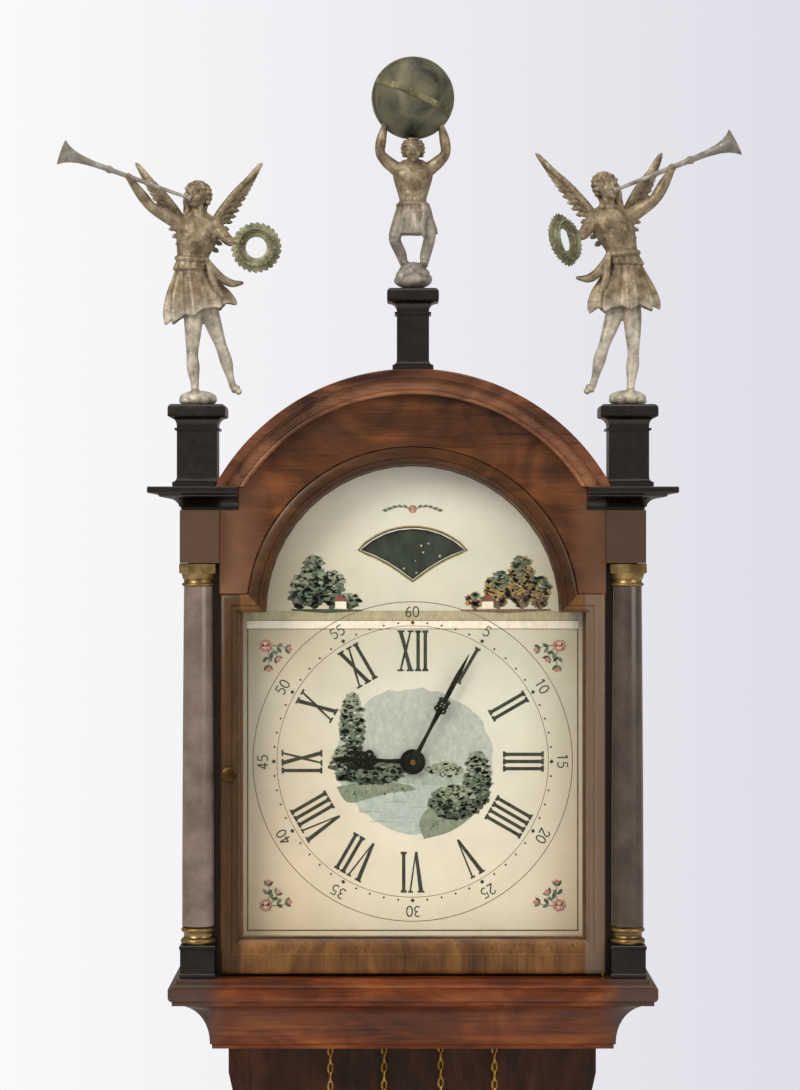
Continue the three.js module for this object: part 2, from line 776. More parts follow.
function pivotHoles(depthNear, depthFar, radius) {
  const arbors = [goingGreatAt, thirdAt, escapeAt, hammerWheelAt, warningAt, flyAt, hammerAt];
  const hole = radius / Math.cos(Math.PI / sidesSmall) + movement.pivotClearance;
  return arbors.map(([x, z]) => bar(x, z, depthNear - overrun, depthFar + overrun, hole));
}

const plateBlank = (near, far) =>
  block(-movement.plateHalf, movement.plateHalf, near, far, plateLow + fit, plateHigh);

function makeFrontPlate() {
  const plate = plateBlank(plateDepth, frontPlateFace);
  const holes = pivotHoles(plateDepth, frontPlateFace, movement.arborRadius);
  const wide = stud.radius + 2 * stud.clearance;
  for (const [x, z] of [centreAt, strikingGreatAt, anchorAt]) {
    holes.push(bar(x, z, plateDepth - overrun, frontPlateFace + overrun, wide));
  }
  const post = frontPlateFace + minutePinion.at + minutePinion.face + stud.clearance;
  const minuteStud = bar(minuteWheelAt[0], minuteWheelAt[1], plateDepth, post, stud.radius);
  return join(cut(plate, holes), minuteStud);
}

function makeBackPlate() {
  const plate = plateBlank(backPlateFace, backPlateDepth);
  const far = plateDepth - fit;
  const pillars = pillarsAt.map(([x, z]) => bar(x, z, backPlateDepth, far, movement.pillarRadius));
  const holes = pivotHoles(backPlateFace, backPlateDepth, movement.arborRadius);
  const wide = greatArborRadius + 2 * stud.clearance;
  for (const [x, z] of [centreAt, strikingGreatAt, anchorAt]) {
    holes.push(bar(x, z, backPlateFace - overrun, backPlateDepth + overrun, wide));
  }
  return join(cut(plate, holes), pillars);
}

// Arbors and wheels. A gear's "at" is its distance behind the front plate.

function arborAt([x, z], radius = movement.arborRadius) {
  return bar(x, z, backPlateFace, frontPlateFace, radius);
}

function gearBlank(gear, place, phase, shares, crossed = true) {
  const outline = shifted(toothedOutline(gear, phase, shares), place);
  const rimRadius = pitchRadiusOf(gear) - shares.root * gear.module - rim.thick;
  const holes = crossed ? crossings(rimRadius, phase).map((hole) => shifted(hole, place)) : [];
  return plank(outline, atDepth(gear.at + gear.face), atDepth(gear.at), holes);
}

// A driven gear shows a gap, half a pitch round, to the tooth of the gear that drives it
const toothPhase = (place, other) => directionOf(place, other);
const gapPhase = (gear, place, other) => directionOf(place, other) + Math.PI / gear.teeth;

function makeGoingGreatWheel() {
  const phase = toothPhase(goingGreatAt, centreAt);
  const wheel = gearBlank(goingGreat, goingGreatAt, phase, toothShares);
  const inside = bar(...goingGreatAt, backPlateDepth + running, plateDepth - running, greatArborRadius);
  return join(wheel, inside, arborAt(goingGreatAt));
}

function makeStrikingGreatWheel() {
  const phase = toothPhase(strikingGreatAt, hammerWheelAt);
  const wheel = gearBlank(strikingGreat, strikingGreatAt, phase, toothShares);
  const inside = bar(...strikingGreatAt, backPlateFace, plateDepth - running, greatArborRadius);
  const pivot = bar(...strikingGreatAt, plateDepth - overrun, frontPlateFace, stud.radius);
  const far = backPlateFace - countWheel.behind;
  const near = far - countWheel.thick;
  const tailpiece = bar(...strikingGreatAt, near, backPlateFace, greatArborRadius);
  const counting = shifted(countOutline(), strikingGreatAt);
  return join(wheel, inside, pivot, tailpiece, plank(counting, near, far));
}

// The count wheel's rim, notched after 1, 2, 3 ... 12 blows
function countOutline() {
  const blows = (countWheel.notches * (countWheel.notches + 1)) / 2;
  const share = (2 * Math.PI) / blows;
  const inner = countWheel.radius - countWheel.depth;
  const points = [];
  let passed = 0;
  for (let hour = 1; hour <= countWheel.notches; hour += 1) {
    const start = passed * share;
    const notchHalf = share / 4;
    const steps = Math.ceil(hour / 4);
    points.push(...arc(0, 0, inner, start - notchHalf, start + notchHalf, 1));
    const land = arc(0, 0, countWheel.radius, start + notchHalf, start + hour * share - notchHalf, steps);
    points.push(...land);
    passed += hour;
  }
  return points;
}

function makeSprocket([x, z]) {
  const near = atDepth(sprocket.at + sprocket.width);
  const far = atDepth(sprocket.at);
  const lip = (sprocket.width - sprocket.groove) / 2;
  const profile = [
    [sprocket.bore, near],
    [sprocket.flange, near],
    [sprocket.flange, near + lip],
    [sprocket.core, near + lip],
    [sprocket.core, far - lip],
    [sprocket.flange, far - lip],
    [sprocket.flange, far],
    [sprocket.bore, far],
    [sprocket.bore, near],
  ];
  return turnedAlong(profile, x, z);
}

function makeCentreWheel() {
  const phase = gapPhase(centrePinion, centreAt, goingGreatAt);
  const pinion = gearBlank(centrePinion, centreAt, phase, leafShares, false);
  const wheel = gearBlank(centreWheel, centreAt, toothPhase(centreAt, thirdAt), toothShares);
  const tipDepth = dialFace + minuteHand.lift + hands.thick + hands.arborPast;
  const through = bar(...centreAt, backPlateFace, tipDepth, stud.radius);
  const cannonPhase = toothPhase(centreAt, minuteWheelAt);
  const cannonOutline = shifted(toothedOutline(cannonPinion, cannonPhase, leafShares), centreAt);
  const near = frontPlateFace + cannonPinion.at;
  return join(pinion, wheel, through, plank(cannonOutline, near, near + cannonPinion.face));
}

function makeMinuteWheel() {
  const near = frontPlateFace + minuteWheel.at;
  const far = frontPlateFace + minutePinion.at;
  const wheelPhase = gapPhase(minuteWheel, minuteWheelAt, centreAt);
  const wheelOutline = shifted(toothedOutline(minuteWheel, wheelPhase, toothShares), minuteWheelAt);
  const leafPhase = toothPhase(minuteWheelAt, centreAt);
  const leafOutline = shifted(toothedOutline(minutePinion, leafPhase, leafShares), minuteWheelAt);
  const gear = join(
    plank(wheelOutline, near, near + minuteWheel.face),
    plank(leafOutline, near + minuteWheel.face / 2, far + minutePinion.face),
  );
  const bore = stud.radius / Math.cos(Math.PI / sidesSmall) + stud.clearance;
  return cut(gear, bar(...minuteWheelAt, near - overrun, far + minutePinion.face + overrun, bore));
}

function makeHourWheel() {
  const near = frontPlateFace + hourWheel.at;
  const phase = gapPhase(hourWheel, centreAt, minuteWheelAt);
  const outline = shifted(toothedOutline(hourWheel, phase, toothShares), centreAt);
  const rimRadius = pitchRadiusOf(hourWheel) - toothShares.root * hourWheel.module - rim.thick;
  const holes = crossings(rimRadius).map((hole) => shifted(hole, centreAt));
  const far = dialFace + hourHand.lift + hands.thick + fit;
  const pipe = bar(...centreAt, near, far, hands.pipeOuter);
  const bore = bar(...centreAt, near - overrun, far + overrun, hands.pipeOuter - hands.pipeWall);
  return cut(join(plank(outline, near, near + hourWheel.face, holes), pipe), bore);
}

function makeThirdWheel() {
  const pinion = gearBlank(thirdPinion, thirdAt, gapPhase(thirdPinion, thirdAt, centreAt), leafShares, false);
  const wheel = gearBlank(thirdWheel, thirdAt, toothPhase(thirdAt, escapeAt), toothShares);
  return join(pinion, wheel, arborAt(thirdAt));
}

function makeEscapeWheel() {
  const phase = gapPhase(escapePinion, escapeAt, thirdAt);
  const pinion = gearBlank(escapePinion, escapeAt, phase, leafShares, false);
  const pitch = (2 * Math.PI) / escapeWheel.teeth;
  const leanShare = 0.36;
  const tipShare = 0.1;
  const outline = Array.from({ length: escapeWheel.teeth }, (_, i) => i * pitch).flatMap((angle) => [
    polar(0, 0, escapeWheel.root, angle),
    ...arc(0, 0, escapeWheel.tip, angle + leanShare * pitch, angle + (leanShare + tipShare) * pitch, 1),
  ]);
  const holes = crossings(escapeWheel.root - rim.thick / 2).map((hole) => shifted(hole, escapeAt));
  const near = atDepth(escapeWheel.at + escapeWheel.face);
  const wheel = plank(shifted(outline, escapeAt), near, atDepth(escapeWheel.at), holes);
  return join(pinion, wheel, arborAt(escapeAt));
}

// The anchor: two pallets over the escape wheel, its arbor, and the crutch that reaches the pendulum
function makeAnchor() {
  const near = atDepth(anchor.at + anchor.face);
  const far = atDepth(anchor.at);
  const reach = escapeWheel.tip + anchor.gap;
  const spread = anchor.spanAngle * degree;
  const low = arc(...escapeAt, reach, Math.PI / 2 - spread, Math.PI / 2 + spread, 8);
  const high = arc(...escapeAt, reach + anchor.bandThick, Math.PI / 2 + spread, Math.PI / 2 - spread, 8);
  const band = plank([...low, ...high], near, far);
  const stemTop = anchorAt[1] + movement.arborRadius;
  const stemLow = escapeAt[1] + reach + anchor.bandThick / 2;
  const stem = block(-anchor.bandThick / 2, anchor.bandThick / 2, near, far, stemLow, stemTop);
  const back = backPlateFace - crutch.behind;
  const rod = bar(...anchorAt, back, frontPlateFace, movement.arborRadius);
  const crutchX = anchorAt[0];
  const crutchY = -back - crutch.radius;
  const foot = anchorAt[1] - crutch.drop;
  const wire = limb([crutchX, crutchY, anchorAt[1]], [crutchX, crutchY, foot], crutch.radius, crutch.radius);
  const tineX = pendulum.rodRadius + crutch.forkGap + crutch.forkWire;
  const forkNear = pendulumFromWall - pendulum.rodRadius - crutch.radius;
  const forkHigh = foot + crutch.radius;
  const forkLow = foot - crutch.radius;
  const wide = tineX + crutch.forkWire;
  const cross = block(-wide, wide, back, back + 2 * crutch.radius, forkLow, forkHigh);
  const tines = [-1, 1].map((side) => {
    const inner = side * tineX - crutch.forkWire;
    return block(inner, inner + 2 * crutch.forkWire, forkNear, back + crutch.radius, forkLow, forkHigh);
  });
  return join(band, stem, rod, wire, cross, tines);
}

function makePendulumRod() {
  const y = -pendulumFromWall;
  const top = anchorAt[1];
  const pinHalf = pendulum.pinHalf;
  const pin = limb([-pinHalf, y, top], [pinHalf, y, top], pendulum.pinRadius, pendulum.pinRadius);
  const spring = block(
    -pendulum.pinRadius / 2,
    pendulum.pinRadius / 2,
    pendulumFromWall - 2 * pendulum.pinRadius,
    pendulumFromWall + 2 * pendulum.pinRadius,
    top - cock.thick * 2,
    top,
  );
  const bobTop = top - pendulum.length + pendulum.bobRadius + fit;
  const rodTop = top - cock.thick * 2 + pendulum.pinRadius;
  const rod = limb([0, y, rodTop], [0, y, bobTop], pendulum.rodRadius, pendulum.rodRadius);
  return join(pin, spring, rod);
}

// The bob is a brass lens with a rating nut under it
function makePendulumBob() {
  const half = pendulum.bobThick / 2;
  const centre = anchorAt[1] - pendulum.length;
  const edge = pendulum.bobEdge / 2;
  const profile = [
    [0, pendulumFromWall - half],
    [pendulum.bobRadius / 2, pendulumFromWall - half + edge],
    [pendulum.bobRadius, pendulumFromWall - edge],
    [pendulum.bobRadius, pendulumFromWall + edge],
    [pendulum.bobRadius / 2, pendulumFromWall + half - edge],
    [0, pendulumFromWall + half],
  ];
  const lens = turnedAlong(profile, 0, centre, sidesFine / 2);
  const y = -pendulumFromWall;
  const nutTop = centre - pendulum.bobRadius + edge;
  const nutLow = nutTop - pendulum.nutHeight;
  const nut = limb([0, y, nutTop], [0, y, nutLow], pendulum.nutRadius, pendulum.nutRadius);
  const thread = limb([0, y, nutTop], [0, y, nutTop - pendulum.tail], pendulum.rodRadius, pendulum.rodRadius);
  return join(lens, nut, thread);
}

function makeHammerWheel() {
  const phase = gapPhase(hammerPinion, hammerWheelAt, strikingGreatAt);
  const pinion = gearBlank(hammerPinion, hammerWheelAt, phase, leafShares, false);
  const wheelPhase = toothPhase(hammerWheelAt, warningAt);
  const wheel = gearBlank(hammerWheel, hammerWheelAt, wheelPhase, toothShares, false);
  const near = atDepth(hammerWheel.at + hammerWheel.face);
  const pins = Array.from({ length: hammerPins.count }, (_, i) => {
    const place = towards(hammerWheelAt, hammerPins.circle, (2 * Math.PI * i) / hammerPins.count);
    const { radius, length, sides } = hammerPins;
    return bar(...place, near - length, near + radius, radius, sides);
  });
  return join(pinion, wheel, pins, arborAt(hammerWheelAt));
}

function makeWarningWheel() {
  const phase = gapPhase(warningPinion, warningAt, hammerWheelAt);
  const pinion = gearBlank(warningPinion, warningAt, phase, leafShares, false);
  const wheel = gearBlank(warningWheel, warningAt, toothPhase(warningAt, flyAt), toothShares);
  return join(pinion, wheel, arborAt(warningAt));
}

function makeFly() {
  const pinion = gearBlank(flyPinion, flyAt, gapPhase(flyPinion, flyAt, warningAt), leafShares, false);
  const [x, z] = flyAt;
  const half = fly.thick / 2;
  const near = atDepth(fly.at + fly.length);
  const far = atDepth(fly.at);
  const vane = block(x - fly.half, x + fly.half, near, far, z - half, z + half);
  const hub = bar(x, z, near, far, movement.arborRadius * 2);
  return join(pinion, vane, hub, arborAt(flyAt));
}

// The bell hangs from a standard on the back plate, whose foot is also the pendulum's cock

const bellRim = plateHigh + bell.above;
const bellDepth = backPlateFace + bell.back + bell.standardThick;

function makeBell() {
  const outerShares = [[1, 0], [0.93, 0.12], [0.8, 0.45], [0.62, 0.78], [0.3, 0.97]];
  const inner = bell.radius - bell.wall;
  const tall = bell.height - bell.wall;
  const outer = outerShares.map(([r, h]) => [bell.radius * r, bell.height * h]);
  const hollow = outerShares.map(([r, h]) => [inner * r, tall * h]).reverse();
  return turned([[0, tall], ...hollow, ...outer, [0, bell.height]], 0, bellDepth, bellRim);
}

function makeBellStandard() {
  const left = -bell.standardX - bell.standardWidth / 2;
  const right = left + bell.standardWidth;
  const top = bellRim + bell.height + bell.crown;
  const near = backPlateFace - bell.standardThick - fit;
  const far = backPlateFace - fit;
  const cockTop = anchorAt[1] - pendulum.pinRadius - fit;
  const cockLow = cockTop - cock.thick;
  const upright = block(left, right, near, far, cockLow - bell.standardWidth, top);
  const arm = block(left, bell.armThick, near, bellDepth + bell.armThick, top - bell.armThick, top);
  const armCut = block(
    left + bell.standardWidth,
    bell.armThick + overrun,
    near - overrun,
    bellDepth - bell.armThick,
    top - bell.armThick - overrun,
    top + overrun,
  );
  const screwLow = bellRim + bell.height + fit;
  const screw = limb([0, -bellDepth, screwLow], [0, -bellDepth, top], bell.armThick, bell.armThick / 2);
  const shelfNear = pendulumFromWall - cock.reach;
  const shelf = block(left, right, shelfNear, far, cockLow, cockTop);
  const bridgeFar = pendulumFromWall + cock.reach;
  const bridge = block(left, cock.half, shelfNear, bridgeFar, cockLow, cockTop);
  const slot = block(
    -cock.slotHalf,
    cock.slotHalf,
    shelfNear - overrun,
    pendulumFromWall + cock.reach - pendulum.pinRadius,
    cockLow - overrun,
    cockTop + overrun,
  );
  return cut(join(upright, arm, screw, shelf, bridge), armCut, slot);
}

function makeHammer() {
  const [x, z] = hammerAt;
  const tailNear = atDepth(hammer.tailAt + hammer.tailFace);
  const tailFar = atDepth(hammer.tailAt);
  const toWheel = directionOf(hammerWheelAt, hammerAt);
  const clear = hammerPins.circle + hammerPins.radius + hammer.tailGap;
  const tip = towards(hammerWheelAt, clear, toWheel);
  const strip = (from, to, half) => {
    const across = directionOf(from, to) + Math.PI / 2;
    const [dx, dz] = [half * Math.cos(across), half * Math.sin(across)];
    return [
      flat(from[0] - dx, from[1] - dz),
      flat(to[0] - dx, to[1] - dz),
      flat(to[0] + dx, to[1] + dz),
      flat(from[0] + dx, from[1] + dz),
    ];
  };
  const tailpiece = plank(strip(hammerAt, tip, hammer.armHalf), tailNear, tailFar);
  const armNear = atDepth(hammer.armAt + hammer.armFace);
  const armFar = atDepth(hammer.armAt);
  const elbow = [hammer.elbowX, dialCentre + hammer.elbowUp];
  const shoulder = [hammer.shoulderX, dialCentre + hammer.shoulderUp];
  const head = [bell.radius + hammer.headGap + hammer.headRadius, bellRim + hammer.aboveRim];
  const stations = [[x, z], elbow, shoulder, head];
  const outlines = stations.slice(1).map((to, i) => strip(stations[i], to, hammer.armHalf));
  const arm = outlines.map((outline) => plank(outline, armNear, armFar));
  const knuckles = [elbow, shoulder].map(([kx, kz]) => bar(kx, kz, armNear, armFar, hammer.armHalf * 1.2));
  const middle = (armNear + armFar) / 2;
  const headHalf = hammer.headWidth / 2;
  const knob = bar(...head, middle - headHalf, middle + headHalf, hammer.headRadius, sidesRound / 2);
  return join(tailpiece, arm, knuckles, knob, arborAt(hammerAt));
}

// Dial

// The moon's window: an arched top over two round humps that meet in a notch
function moonWindowOutline() {
  const rise = moonWindow.top - moonWindow.corner;
  const radius = (moonWindow.half ** 2 + rise ** 2) / (2 * rise);
  const sweep = Math.asin(moonWindow.half / radius);
  const head = arc(0, moonWindow.top - radius, radius, Math.PI / 2 - sweep, Math.PI / 2 + sweep, 8);
  const hump = (side) => {
    const path = new THREE.Path();
    const midX = (side * moonWindow.half) / 2;
    const midZ = (moonWindow.corner + moonWindow.notch) / 2 + moonWindow.humpRise;
    path.moveTo(side * moonWindow.half, moonWindow.corner);
    path.quadraticCurveTo(midX, midZ, 0, moonWindow.notch);
    return path.getPoints(4);
  };
  const left = hump(-1);
  const right = hump(1).reverse();
  return shifted([...head, ...left.slice(1), ...right.slice(1, -1)], [0, archCentre]);
}

function makeDialPlate() {
  const outline = archedOutline(dialHalf, dialBottom, archCentre + fit, dialRadius);
  const holes = [circle(...centreAt, dial.centreHole), moonWindowOutline()];
  const plate = plank(outline, dialBack, dialFace, holes);
  const feet = [-1, 1].flatMap((side) =>
    [dialCentre - dial.footLow, dialCentre + dial.footHigh].map((z) =>
      bar(side * dial.footX, z, frontPlateFace + fit, dialBack, dial.footRadius),
    ),
  );
  const pivot = bar(0, archCentre, dialBack - moonDisc.studLength, dialBack, moonDisc.studRadius);
  return join(plate, feet, pivot);
}

function makeMoonDisc() {
  const pitch = (2 * Math.PI) / moonDisc.teeth;
  const outline = Array.from({ length: moonDisc.teeth }, (_, i) => i * pitch).flatMap((angle) => [
    polar(0, archCentre, moonDisc.root, angle),
    polar(0, archCentre, moonDisc.tip, angle + pitch / 2),
  ]);
  const far = dialBack - moonDisc.behind;
  const boreRadius = moonDisc.studRadius / Math.cos(Math.PI / sidesSmall) + running;
  const bore = circle(0, archCentre, boreRadius, sidesSmall);
  return plank(outline, far - moonDisc.thick, far, [bore]);
}

// Hands. Each is drawn pointing up and then turned to its hour or minute.

function makeHand({ outlineShares, reach, wide, hub, bore, lift, degrees, eyeShare }) {
  const right = outlineShares.map(([across, along]) => flat(across * wide, along * reach));
  const left = mirrored(right.slice(0, -1));
  const turnedAbout = (outline) => outline.map((point) => point.rotateAround(flat(0, 0), -degrees * degree));
  const blade = shifted(turnedAbout([flat(0, 0), ...right, ...left]), centreAt);
  const eyeHole = shifted(turnedAbout(circle(0, eyeShare * reach, wide / 3, sidesSmall)), centreAt);
  const near = dialFace + lift;
  const far = near + hands.thick;
  const whole = join(plank(blade, near, far, [eyeHole]), bar(...centreAt, near, far, hub, sidesRound));
  return cut(whole, bar(...centreAt, near - overrun, far + overrun, bore));
}

// Chains, weights and rings

function chainFalls() {
  return [goingGreatAt[0], strikingGreatAt[0]].flatMap((x) => [x - chain.fallRadius, x + chain.fallRadius]);
}

// Each chain runs from its weight, over the sprocket, and down to its ring
function makeChain([x, z], side, hookDrop) {
  const over = arc(x, z, chain.fallRadius, side > 0 ? 0 : Math.PI, side > 0 ? Math.PI : 0, 8);
  const line = over.map((point) => [point.x, point.y]);
  const weightEnd = [x + side * chain.fallRadius, -hookDrop];
  const ringEnd = [x - side * chain.fallRadius, -ringDropOf(hookDrop)];
  const points = [weightEnd, ...line, ringEnd].map(([px, pz]) => [px, -chainDepth, pz]);
  return tube(points, Array(points.length).fill(chain.radius), sidesSmall);
}

// The chain's length is fixed, so the ring hangs lower when its weight is higher
function ringDropOf(hookDrop) {
  return chain.total - 2 * goingGreatAt[1] - Math.PI * chain.fallRadius - hookDrop;
}

function makeWeight([x], side, hookDrop) {
  const fallX = x + side * chain.fallRadius;
  const top = -hookDrop - fit;
  const body = top - 2 * (eye.radius + eye.wire) - weight.neckHeight;
  const edge = weight.edge;
  const profile = [
    [0, -weight.height],
    [weight.radius - edge, -weight.height],
    [weight.radius, -weight.height + edge],
    [weight.radius, -edge],
    [weight.radius - edge, 0],
    [weight.neckRadius, 0],
    [weight.neckRadius, weight.neckHeight + eye.wire],
    [0, weight.neckHeight + eye.wire],
  ];
  const ring = new THREE.TorusGeometry(eye.radius, eye.wire, 5, sidesSmall);
  ring.rotateX(Math.PI / 2);
  ring.translate(fallX, -chainDepth, top - eye.radius - eye.wire);
  return join(turned(profile, fallX, chainDepth, body), solidFrom(ring));
}

function makeCounterRing([x], side, hookDrop) {
  const fallX = x - side * chain.fallRadius;
  const geometry = new THREE.TorusGeometry(counterRing.radius, counterRing.wire, sidesFigure, sidesRound);
  geometry.rotateX(Math.PI / 2);
  const top = -ringDropOf(hookDrop) - fit;
  geometry.translate(fallX, -chainDepth, top - counterRing.radius - counterRing.wire);
  return solidFrom(geometry);
}

// Hood

// A moulded tray: rectangular rings whose overhang follows a profile of [overhang, height]
function mouldedTray(profile, half, front) {
  const back = -hood.wallGap;
  const ring = ([overhang, height]) => [
    new THREE.Vector3(-half - overhang, -front - overhang, height),
    new THREE.Vector3(half + overhang, -front - overhang, height),
    new THREE.Vector3(half + overhang, back, height),
    new THREE.Vector3(-half - overhang, back, height),
  ];
  return skin(profile.map(ring));
}

const cavettoShares = [[0, 0], [0.04, 0.12], [0.14, 0.36], [0.34, 0.64], [0.62, 0.84], [0.86, 0.94]];
const ledgeShares = [[0.86, 0], [0.93, 0.1], [1, 0.3], [1, 0.62], [0.94, 0.72], [0.84, 0.78], [0.8, 1]];

function makeHoodBase() {
  const overhang = hood.ledgeOverhang;
  const cove = hood.baseTop - hood.ledgeThick;
  const profile = [
    ...cavettoShares.map(([out, up]) => [out * overhang, up * cove]),
    ...ledgeShares.map(([out, up]) => [out * overhang, cove + up * hood.ledgeThick]),
  ];
  const tray = mouldedTray(profile, baseHalf, baseFront);
  const inside = block(-baseInner, baseInner, -overrun, maskBack, -overrun, hood.baseTop + overrun);
  return cut(tray, inside);
}

const corniceShares = [[0, 0], [0.16, 0.14], [0.3, 0.38], [0.62, 0.56], [0.86, 0.62], [1, 0.7], [1, 1]];

function makeCornice(side) {
  const overhang = hood.corniceOverhang;
  const profile = corniceShares.map(([out, up]) => [out * overhang, corniceLow + up * hood.corniceTall]);
  const tray = mouldedTray(profile, blockHalf, corniceFront - overhang);
  const whole = corniceHalf + overrun;
  const [left, right] = side < 0 ? [-whole, -corniceInner] : [corniceInner, whole];
  const low = corniceLow - overrun;
  return tray.intersect(block(left, right, 0, corniceFront + overrun, low, corniceHigh + overrun));
}

function makeHoodSide(side) {
  const back = -hood.wallGap;
  const front = -maskBack + fit;
  const low = hood.baseTop + fit;
  const high = corniceLow - fit;
  const outline = [flat(front, low), flat(back, low), flat(back, high), flat(front, high)];
  const x = side < 0 ? -sideOuter : sideInner;
  return panel(outline, x, x + hood.sideThick, [sideWindowOutline(0)]);
}

// A tall window with a round head
function sideWindowOutline(inset) {
  const front = maskBack - sideWindow.frontInset;
  const radius = (front - sideWindow.back) / 2;
  const middle = -(front + sideWindow.back) / 2;
  const head = arc(middle, corniceLow - sideWindow.springDown, radius - inset, 0, Math.PI, 10);
  const low = hood.baseTop + sideWindow.bottomUp + inset;
  return [flat(middle - radius + inset, low), flat(middle + radius - inset, low), ...head];
}

function makeSideGlass(side) {
  const middle = side * (sideInner + hood.sideThick / 2);
  const half = sideWindow.glassThick / 2;
  return panel(sideWindowOutline(fit), middle - half, middle + half);
}

// The hood's front: a mask round the dial, the fascia round the door's head, and the corner blocks
function makeHoodFront() {
  const low = hood.baseTop + fit;
  const high = corniceLow - fit;
  const square = [flat(-sideOuter, low), flat(sideOuter, low), flat(sideOuter, high), flat(-sideOuter, high)];
  const head = arc(0, hoodArchCentre, roofOuter, 0, Math.PI, 32);
  const inner = corniceInner - fit;
  const maskHole = archedOutline(maskHalf, maskBottom, archCentre + fit, maskRadius);
  const headHigh = hoodArchCentre + roofOuter + overrun;
  const headZone = block(-inner, inner, maskBack, fasciaFront, high - overrun, headHigh);
  const headSolid = plank(head, maskBack, fasciaFront).intersect(headZone);
  const backing = plank(square, maskBack, maskFront);
  const fasciaLow = archCentre + door.stile + door.gap;
  const fasciaWide = doorHalf + door.gap;
  const fascia = block(-fasciaWide, fasciaWide, maskBack, fasciaFront, fasciaLow, high);
  const blocks = [-1, 1].map((side) => {
    const near = side * fasciaWide;
    const far = side * blockHalf;
    return block(Math.min(near, far), Math.max(near, far), maskBack + fit, blockFront, blockLow, high);
  });
  const doorRoom = plank(doorOuter(door.gap), maskFront, fasciaFront + overrun);
  const opening = plank(maskHole, maskBack - overrun, maskFront + overrun);
  return cut(join(backing, fascia, blocks, headSolid), doorRoom, opening);
}

function makeHoodRoof() {
  const roofInner = roofOuter - arch.roofThick;
  const front = maskBack - fit;
  const ring = [
    ...arc(0, hoodArchCentre, roofOuter, 0, Math.PI, 28),
    ...arc(0, hoodArchCentre, roofInner, Math.PI, 0, 28),
  ];
  const low = corniceHigh + fit;
  const below = block(-archOuter, archOuter, 0, front + overrun, hoodArchCentre - overrun, low);
  return cut(plank(ring, hood.wallGap, front), below);
}

// The arched cornice, a moulding as wide as it is deep
const archMouldingShares = [[0, 0.45], [0.25, 0.62], [0.5, 0.8], [0.72, 1], [1, 1], [1, 0]];

function makeArchMoulding() {
  const near = fasciaFront + fit;
  const low = corniceHigh + fit;
  const proud = arch.proud - hood.fasciaProud;
  const face = archMouldingShares.map(([out, up]) => [archInner + out * arch.width, near + up * proud]);
  const front = turnedAlong([[archInner, near], ...face, [archInner, near]], 0, hoodArchCentre, sidesFine);
  const topInner = clearOf(roofOuter, sidesFine);
  const cap = [
    [topInner, maskFront - arch.proud],
    [archOuter, maskFront - arch.proud],
    [archOuter, near + overrun],
    [topInner, near + overrun],
    [topInner, maskFront - arch.proud],
  ];
  const crown = turnedAlong(cap, 0, hoodArchCentre, sidesFine);
  const far = near + proud + overrun;
  const below = block(-archOuter * 2, archOuter * 2, 0, far, hoodArchCentre - archOuter * 2, low);
  return cut(join(front, crown), below);
}

// Door

function doorOuter(grow) {
  const half = doorHalf + grow;
  const radius = doorRadius + grow;
  return archedOutline(half, doorBottom - grow, archCentre + door.stile + grow, radius);
}

function doorInner(shrink) {
  const half = doorHalf - door.stile - shrink;
  const bottom = doorBottom + door.rail + shrink;
  const radius = maskRadius - shrink + door.gap;
  return archedOutline(half, bottom, archCentre + fit - shrink, radius);
}

function makeDoorFrame() {
  const frame = plank(doorOuter(0), doorBack, doorFront, [doorInner(0)]);
  const x = doorHalf - door.pinRadius;
  const y = -doorFront + door.pinRadius;
  const top = archCentre + door.stile;
  const high = limb([x, y, top - overrun], [x, y, top + door.gap / 2], door.pinRadius, door.pinRadius);
  const pinLow = doorBottom - door.pinLength / 2;
  const low = limb([x, y, doorBottom + overrun], [x, y, pinLow], door.pinRadius, door.pinRadius);
  return join(frame, high, low);
}

function makeDoorGlass() {
  const far = doorFront - door.glassInset;
  return plank(doorInner(fit), far - door.glassThick, far);
}

const knobShares = [[0, 0], [0.8, 0], [0.35, 0.25], [0.35, 0.5], [1, 0.75], [0.6, 1], [0, 1]];

function makeDoorKnob() {
  const near = doorFront + fit;
  const profile = knobShares.map(([out, along]) => [out * door.knobRadius, near + along * door.knobLength]);
  return turnedAlong(profile, -doorHalf + door.stile / 2, doorBottom + door.knobUp, sidesKnob);
}

// Columns and pedestals

function makeColumn(side) {
  const low = hood.baseTop + fit;
  const high = blockLow - fit;
  const x = side * columnX;
  const square = (height) => [[column.plinthHalf, 0], [column.plinthHalf, height]];
  const plinth = squarePost(square(column.plinthHeight), x, columnDepth, low);
  const cap = squarePost(square(column.capHeight), x, columnDepth, high - column.capHeight);
  const bottom = column.plinthHeight;
  const top = high - low - column.capHeight;
  const c = column.collar;
  const profile = [
    [0, bottom - 0.5 * c],
    [column.collarRadius, bottom - 0.5 * c],
    [column.collarRadius, bottom + c],
    [column.radius, bottom + 1.5 * c],
    [column.radius, bottom + (top - bottom) / 3],
    [column.necking, top - 3 * c],
    [column.radius, top - 2.5 * c],
    [column.radius, top - 2 * c],
    [column.necking, top - 1.5 * c],
    [column.collarRadius, top],
    [column.collarRadius, top + 0.5 * c],
    [0, top + 0.5 * c],
  ];
  return join(plinth, cap, turned(profile, x, columnDepth, low));
}

function postProfile(post) {
  const shaftTop = post.height - post.plateThick;
  return [
    [post.shaftHalf + post.lip, 0],
    [post.shaftHalf + post.lip, post.lip],
    [post.shaftHalf, 2 * post.lip],
    [post.shaftHalf, shaftTop],
    [post.plateHalf - post.lip, shaftTop + post.lip],
    [post.plateHalf, shaftTop + 2 * post.lip],
    [post.plateHalf, post.height - post.lip],
    [post.plateHalf - post.lip, post.height],
  ];
}

